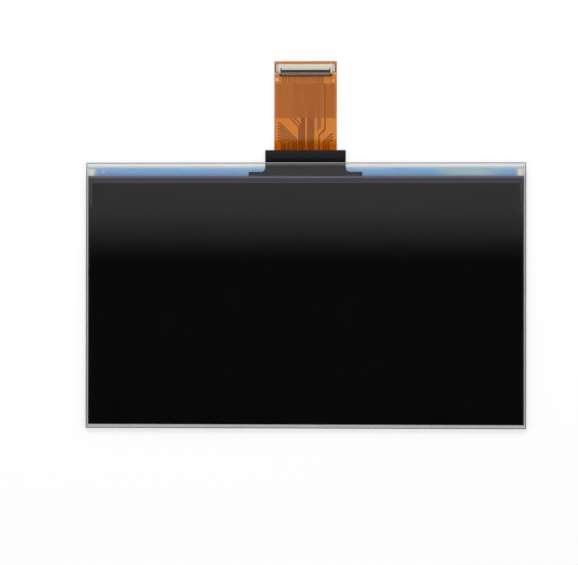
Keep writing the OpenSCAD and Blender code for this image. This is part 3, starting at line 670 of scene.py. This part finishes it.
# Pressed film is very slightly wavy, every 4 mm or so
waves = add(tree, "TexNoise", {"Vector": spot, "Scale": 1 / (4 * MM), "Detail": 2.0})
ripple = add(tree, "Bump", {"Height": waves.outputs["Fac"], "Strength": 0.1, "Distance": 0.02 * MM})
mirror_share = add(tree, "Fresnel", {"IOR": 1.52, "Normal": ripple})
amber = add(tree, "BsdfTransparent", {"Color": "#fadc9a"})
gloss = add(tree, "BsdfGlossy", {"Color": "#ffffff", "Roughness": 0.04, "Normal": ripple})
sheet = add(tree, "MixShader", {0: mirror_share, 1: amber, 2: gloss})
clear = add(tree, "BsdfTransparent", {"Color": "#ffffff"})
back = add(tree, "NewGeometry")
film = add(tree, "MixShader", {0: back.outputs["Backfacing"], 1: sheet, 2: clear})
dress(cover_film, film, "flex_coverlay")

# %% [markdown]
# ## Copper
# The conductors are rolled copper foil, roughened so that the films stick to it. Over the plane on
# the back they and the film have one warm brown, and the conductors show there only as faint lines:
# the thin ones on the left a little paler than the film, the wide supply on the right darker.

# %% Rolled copper foil
copper, tree, spot = new_finish("rolled_copper_foil")
along = add(tree, "Mapping", {"Vector": spot, "Scale": (1.0, 0.15, 1.0)})
# The roughening is a few thousandths of a millimetre; it is drawn at 0.2 mm
tooth, tint = mottle(tree, along, 0.2 * MM, 3.0, "#b4603c", "#ce7a50")
place = add(tree, "SeparateXYZ", {0: spot})
lane = add(tree, "MapRange", {"Value": place.outputs["X"], "From": (-plane_high.x, plane_high.x)})
lane_tint = add(tree, "ValToRGB", {"Fac": lane},
                stops=[(0.27, "#c8924a"), (0.845, "#ae7a33"), (0.31, "#b07c34"), (0.8, "#b07b34"),
                       (0.822, "#985f28"), (0.834, "#985f28")])
backed = over_plane(tree, place, 0.0, 1.0)
tint = add(tree, "Mix", {0: backed, 6: tint, 7: lane_tint}, data_type="RGBA")
# Near the tape the tail lifts off, and light from under it outshines the edges of two close groups
glow_lanes = add(tree, "ValToRGB", {"Fac": lane},
                 stops=[(0.16, "#000000"), (0.27, "#000000"), (0.167, "#ffffff"), (0.18, "#ffffff"),
                        (0.187, "#000000"), (0.236, "#000000"), (0.243, "#ffffff"), (0.263, "#ffffff")])
near_tape = add(tree, "MapRange", {"Value": place.outputs["Y"],
                                   "From": (bend_y - 3.0 * MM, bend_y - 4.0 * MM), "To Max": 0.75})
glowing = add(tree, "Math", {0: glow_lanes, 1: near_tape}, operation="MULTIPLY")
tint = add(tree, "Mix", {0: glowing, 6: tint, 7: "#c47c2c"}, data_type="RGBA")
dulled = add(tree, "Math", {0: backed, 1: glowing}, operation="MAXIMUM")
shine = add(tree, "MapRange", {"Value": dulled, "To": (1.0, 0.1)})
wear = add(tree, "MapRange", {"Value": tooth, "From": (0.3, 0.7), "To": (0.28, 0.36)})
foil = add(tree, "BsdfPrincipled", {"Base Color": tint, "Metallic": shine, "Roughness": wear})
dress(copper, foil, "flex_traces")

# %% Copper plane on the tail's back
plane_copper, tree, spot = new_finish("rolled_copper_plane")
along = add(tree, "Mapping", {"Vector": spot, "Scale": (1.0, 0.1, 1.0)})
# Rolling marks are a few hundredths of a millimetre apart; they are drawn at 0.3 mm
tint = mottle(tree, along, 0.3 * MM, 3.0, "#a8663a", "#bf7a48")[1]
foil = add(tree, "BsdfPrincipled", {"Base Color": tint, "Metallic": 1.0, "Roughness": 0.42})
dress(plane_copper, foil, "flex_ground_plane")

# %% [markdown]
# ## Stiffener
# Behind the connector the tail is glued to a stiffener of glass-fibre board. Its weave shows faintly
# through the resin.

# %% Glass-fibre board
def woven(tree, spot, thread, relief, dark, light):
    """Cloth with threads at a real spacing both ways: its tint by two stops, and its relief."""
    warp = add(tree, "TexWave", {"Vector": spot, "Scale": WAVE / thread}, bands_direction="X")
    weft = add(tree, "TexWave", {"Vector": spot, "Scale": WAVE / thread}, bands_direction="Y")
    cloth = add(tree, "Math", {0: warp.outputs["Fac"], 1: weft.outputs["Fac"]}, operation="MULTIPLY")
    tint = add(tree, "ValToRGB", {"Fac": cloth}, stops=[dark, light])
    return tint, add(tree, "Bump", {"Height": cloth, "Strength": relief, "Distance": 0.02 * MM})


board, tree, spot = new_finish("glass_fibre_board")
# The cloth has a thread every 0.5 mm, in both directions
tint, weave = woven(tree, spot, 0.5 * MM, 0.2, (0.0, "#b08a3c"), (0.6, "#c9a75c"))
resin = add(tree, "BsdfPrincipled", {"Base Color": tint, "Roughness": 0.4, "Normal": weave})
dress(board, resin, "connector_stiffener")

# %% [markdown]
# ## Shield tape
# A black acetate cloth tape covers the chips and the bond, and runs out over the tail. It is a dull
# black with a very fine weave. Where it dips under the cover glass it carries a painted shadow, near
# black at the glass's edge.

# %% Black acetate tape
tape, tree, spot = new_finish("black_acetate_tape")
# The cloth has a thread every 0.15 mm; it is drawn every 0.4 mm, so that it shows
tint, weave = woven(tree, spot, 0.4 * MM, 0.25, (0.0, "#252528"), (1.0, "#303034"))
place = add(tree, "SeparateXYZ", {0: spot})
# Painted shadow where the tape dips under the cover glass: near black at the edge, fading out over 5 mm
along = add(tree, "MapRange",
            {"Value": place.outputs["Y"], "From": (glass_high.y - 0.4 * MM, glass_high.y + 5.6 * MM)})
shadow_at_glass = add(tree, "ValToRGB", {"Fac": along},
             stops=[(0.0, "#ffffff"), (1.0, "#ffffff"), (0.04, "#000000"), (0.16, "#000000"),
                    (0.2, "#8c8c8c"), (0.55, "#e0e0e0")])
tint = add(tree, "Mix", {0: 1.0, 6: tint, 7: shadow_at_glass}, data_type="RGBA", blend_type="MULTIPLY")
cloth_face = add(tree, "BsdfPrincipled", {"Base Color": tint, "Roughness": 0.6,
                                          "Specular IOR Level": 0.05, "Normal": weave})
dress(tape, cloth_face, "shield_tape")

# %% [markdown]
# ## Connector
# The housing is moulded in ivory liquid-crystal polymer, which flows in faint streaks. The lock lever
# is the same plastic in black. The contacts and the two solder tabs are stamped and tinned.

# %% Ivory and black mouldings
def moulded(tree, spot, dark, light):
    """Polymer that flowed in streaks along X: its tint, and the faint relief of the streaks."""
    flow = add(tree, "Mapping", {"Vector": spot, "Scale": (0.25, 1.0, 1.0)})
    streaks, tint = mottle(tree, flow, 0.6 * MM, 4.0, dark, light)
    return tint, add(tree, "Bump", {"Height": streaks, "Strength": 0.1, "Distance": 0.01 * MM})


ivory, tree, spot = new_finish("ivory_lcp_moulded")
tint, skin = moulded(tree, spot, "#dfd8c6", "#ebe6d6")
# The ends of the side arms turn brown over their last 0.7 mm
arm_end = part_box("connector_housing")[0].y
place = add(tree, "SeparateXYZ", {0: spot})
browned = add(tree, "MapRange", {"Value": place.outputs["Y"],
                                 "From": (arm_end + 0.7 * MM, arm_end + 0.1 * MM), "To Max": 0.8})
tint = add(tree, "Mix", {0: browned, 6: tint, 7: "#7a431a"}, data_type="RGBA")
plastic = add(tree, "BsdfPrincipled", {"Base Color": tint, "Roughness": 0.42, "Normal": skin})
dress(ivory, plastic, "connector_housing")

black_plastic, tree, spot = new_finish("black_lcp_moulded")
tint, skin = moulded(tree, spot, "#2c2a29", "#373533")
plastic = add(tree, "BsdfPrincipled", {"Base Color": tint, "Roughness": 0.45, "Normal": skin})
dress(black_plastic, plastic)

# %% Tinned contacts and tabs
tin, tree, spot = new_finish("tinned_phosphor_bronze")
# Plated tin is cloudy at about 0.15 mm
cloud, tint = mottle(tree, spot, 0.15 * MM, 3.0, "#ded9d1", "#f2efe8")
# The tips of the feet turn brown
place = add(tree, "SeparateXYZ", {0: spot})
browned = add(tree, "MapRange",
              {"Value": place.outputs["Y"], "From": (row_y + 0.35 * MM, row_y + 0.15 * MM)})
tint = add(tree, "Mix", {0: browned, 6: tint, 7: "#c46828"}, data_type="RGBA")
wear = add(tree, "MapRange", {"Value": cloud, "From": (0.3, 0.7), "To": (0.4, 0.55)})
metal = add(tree, "BsdfPrincipled", {"Base Color": tint, "Metallic": 0.6, "Roughness": wear})
dress(tin, metal, "connector_contacts", "solder_tab_left", "solder_tab_right")

# %% [markdown]
# ## Lock lever
# The lever stands upright and grows thicker toward its free edge, where a fingernail lifts it, and
# like all mouldings it has softened edges. It keeps its CAD nose and trunnions: its mesh is copied,
# its points are merged and its flat faces joined, then its front is leaned out and its edges rounded.

# %% A lever that thickens to its edge
hinge = Vector(frame["joints"][0]["pos_m"])
lever = start_copy("lock_lever_moulded", nodes["connector_lock_lever"])
bpy.ops.object.mode_set(mode="EDIT")
bpy.ops.mesh.select_mode(type="VERT")
bpy.ops.mesh.select_all(action="SELECT")
bpy.ops.mesh.remove_doubles(threshold=near)
bpy.ops.mesh.dissolve_limited(angle_limit=math.radians(1))
# The front has corners at these heights over the hinge, and each leans out by a share of its height
front_y = hinge.y + 0.2 * MM
lean = 0.09
for height in (1.1 * MM, 1.55 * MM, 1.85 * MM, 2.0 * MM):
    shift(lambda p: p.y > front_y and abs(p.z - hinge.z - height) < 0.02 * MM, (0, lean * height, 0))
bpy.ops.object.mode_set(mode="OBJECT")
soft = lever.modifiers.new("soft_edges", "BEVEL")
soft.width, soft.segments, soft.angle_limit = 0.04 * MM, 2, math.radians(30)
bpy.ops.object.modifier_apply(modifier=soft.name)
finish_piece(lever, black_plastic, "black_moulding", "connector_lock_lever", body="lock_lever", angle=20)

# %% [markdown]
# ## Solder
# Fifty contact feet and two tabs are soldered to their pads. Solder that has melted and set again
# draws up into a fillet against the metal. Its skin is a dull pale grey on the tabs, and brown along
# the row and at the tabs' outer rims. One fillet is modelled at the first foot and repeated. Each tab
# gets a collar.

# %% Dull solder
solder, tree, spot = new_finish("lead_free_solder_dull")
# The skin's wrinkles are about 0.1 mm, and it is cloudy at about 0.6 mm
skin = add(tree, "TexNoise", {"Vector": spot, "Scale": 1 / (0.1 * MM), "Detail": 3.0})
tint = mottle(tree, spot, 0.6 * MM, 2.0, "#cdc8bb", "#fbf1ea", spread=0.15)[1]
place = add(tree, "SeparateXYZ", {0: spot})
brown_share = add(tree, "MapRange", {"Value": place.outputs["Y"], "From": (row_y + 0.6 * MM, row_y + 0.1 * MM)})
sideways = add(tree, "Math", {0: place.outputs["X"]}, operation="ABSOLUTE")
brown_rim = add(tree, "MapRange",
               {"Value": sideways, "From": (tab_high.x - 0.3 * MM, tab_high.x - 0.1 * MM), "To Max": 0.8})
brown_share = add(tree, "Math", {0: brown_share, 1: brown_rim}, operation="MAXIMUM")
tint = add(tree, "Mix", {0: brown_share, 6: tint, 7: "#70482c"}, data_type="RGBA")
wrinkle = add(tree, "Bump", {"Height": skin.outputs["Fac"], "Strength": 0.3, "Distance": 0.02 * MM})
metal = add(tree, "BsdfPrincipled", {"Base Color": tint, "Metallic": 0.25,
                                     "Roughness": 0.48, "Normal": wrinkle})
dress(solder, metal)

# %% Fillets along the row of contacts
pin_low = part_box("connector_contacts")[0]
pad_top = pin_low.z
pitch, pad_half, foot_half = 0.5 * MM, 0.15 * MM, 0.1 * MM
first_x = pin_low.x + foot_half
fillet_half, fillet_high = 0.8 * pad_half, 0.11 * MM
toe_y, knee_y = pin_low.y - 0.22 * MM, pin_low.y - 0.07 * MM
fillet = start_cube("solder_fillets", (first_x - fillet_half, toe_y, pad_top),
                    (first_x + fillet_half, pin_low.y, pad_top + fillet_high))
cut((0, 1, 0), [knee_y])
# The fillet sinks from the foot's end to the pad's, in two steps
for step_y, drop in ((toe_y, 0.09 * MM), (knee_y, 0.06 * MM)):
    shift(lambda p: abs(p.y - step_y) < near and p.z > pad_top + near, (0, 0, -drop))
bpy.ops.object.mode_set(mode="OBJECT")
row = fillet.modifiers.new("row", "ARRAY")
row.count = 50
row.use_relative_offset, row.use_constant_offset = False, True
row.constant_offset_displace = (pitch, 0, 0)
bpy.ops.object.modifier_apply(modifier=row.name)
finish_piece(fillet, solder, "tinned_metal", angle=70)

# %% Collars round the tabs
collar_high, collar_round, dip_at = 0.24 * MM, 0.17 * MM, 0.55
for side in ("left", "right"):
    tab_low, tab_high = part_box("solder_tab_" + side)
    outer, inner = sorted((tab_low.x, tab_high.x), key=abs, reverse=True)
    grow = math.copysign(0.2 * MM, outer)
    box_x = sorted((outer + grow, inner + 0.75 * grow))
    collar = start_cube("solder_collar_" + side, (box_x[0], tab_low.y - 0.3 * MM, pad_top),
                        (box_x[1], tab_high.y + 0.1 * MM, pad_top + collar_high))
    # The upper edges and the corners are round, and the solder meets its pad all round
    bpy.ops.mesh.select_mode(type="EDGE")
    cage = bmesh.from_edit_mesh(collar.data)
    for edge in cage.edges:
        edge.select_set(sum(point.co.z for point in edge.verts) / 2 > pad_top + 0.05 * MM)
    bpy.ops.mesh.bevel(offset=collar_round, segments=3, affect="EDGES", clamp_overlap=True)
    bpy.ops.mesh.select_mode(type="VERT")
    # A dip over the tab's foot, where the solder ran thin
    tab_long = tab_high.y - tab_low.y
    cut((0, 1, 0), [tab_low.y + share * tab_long for share in (0.3, dip_at, 0.75)])
    shift(lambda p: abs(p.y - tab_low.y - dip_at * tab_long) < near and p.z > pad_top + 0.2 * MM,
          (0, 0, -0.03 * MM))
    finish_piece(collar, solder, "tinned_metal", angle=60)

# %% [markdown]
# ## Printed marks
# Two bars and the numbers of the first and last contact are screen-printed in white ink on the cover
# film. The numbers are text objects that are made into meshes. Ink stands up a hundredth of a
# millimetre, so each mark is a thin solid on the film and not a picture.

# %% White ink
ink, tree, spot = new_finish("white_screen_ink")
# The screen's mesh leaves dots about 0.1 mm apart
tint = speckle(tree, spot, 0.1 * MM, (0.2, "#f6f1ea"), (0.7, "#e2d8cc"))
paint = add(tree, "BsdfPrincipled", {"Base Color": tint, "Roughness": 0.6})
dress(ink, paint)

# %% Printed numbers
cover_film_top = pad_top + 0.05 * MM
number_size, ink_half, stroke_more = 2.0 * MM, 0.005 * MM, 0.05 * MM
last_at = (-row_x - 1.05 * MM, row_y - 1.95 * MM)
first_at = (row_x + 0.7 * MM, row_y - 2.55 * MM)
for name, words, middle in (("printed_last_number", "50", last_at),
                            ("printed_first_number", "1", first_at)):
    bpy.ops.object.select_all(action="DESELECT")
    bpy.ops.object.text_add(location=(*middle, cover_film_top))
    mark = bpy.context.object
    mark.name = name
    mark.data.body, mark.data.size = words, number_size
    mark.data.align_x, mark.data.align_y = "CENTER", "CENTER"
    mark.data.extrude, mark.data.offset = ink_half, stroke_more
    bpy.ops.object.convert(target="MESH")
    mark.location.z += ink_half
    mark.scale.x = 0.8
    bpy.ops.object.transform_apply(location=True, rotation=True, scale=True)
    finish_piece(mark, ink, "ivory_moulding")

# %% Printed bars
bar_y, bar_half = row_y + 1.25 * MM, 0.2 * MM
bar_from, bar_to = row_x + 0.35 * MM, row_x + 2.0 * MM
round_long, round_wide = 0.14 * MM, 0.1 * MM
for side, sign in (("left", -1), ("right", 1)):
    ends = sorted((sign * bar_from, sign * bar_to))
    bar = start_cube("printed_bar_" + side, (ends[0], bar_y - bar_half, cover_film_top),
                     (ends[1], bar_y + bar_half, cover_film_top + 2 * ink_half))
    cut((1, 0, 0), [ends[0] + round_long, ends[1] - round_long])
    # Ink runs round at a bar's ends
    for end in ends:
        shift(lambda p: abs(p.x - end) < near and p.y > bar_y, (0, -round_wide, 0))
        shift(lambda p: abs(p.x - end) < near and p.y < bar_y, (0, round_wide, 0))
    finish_piece(bar, ink, "ivory_moulding")
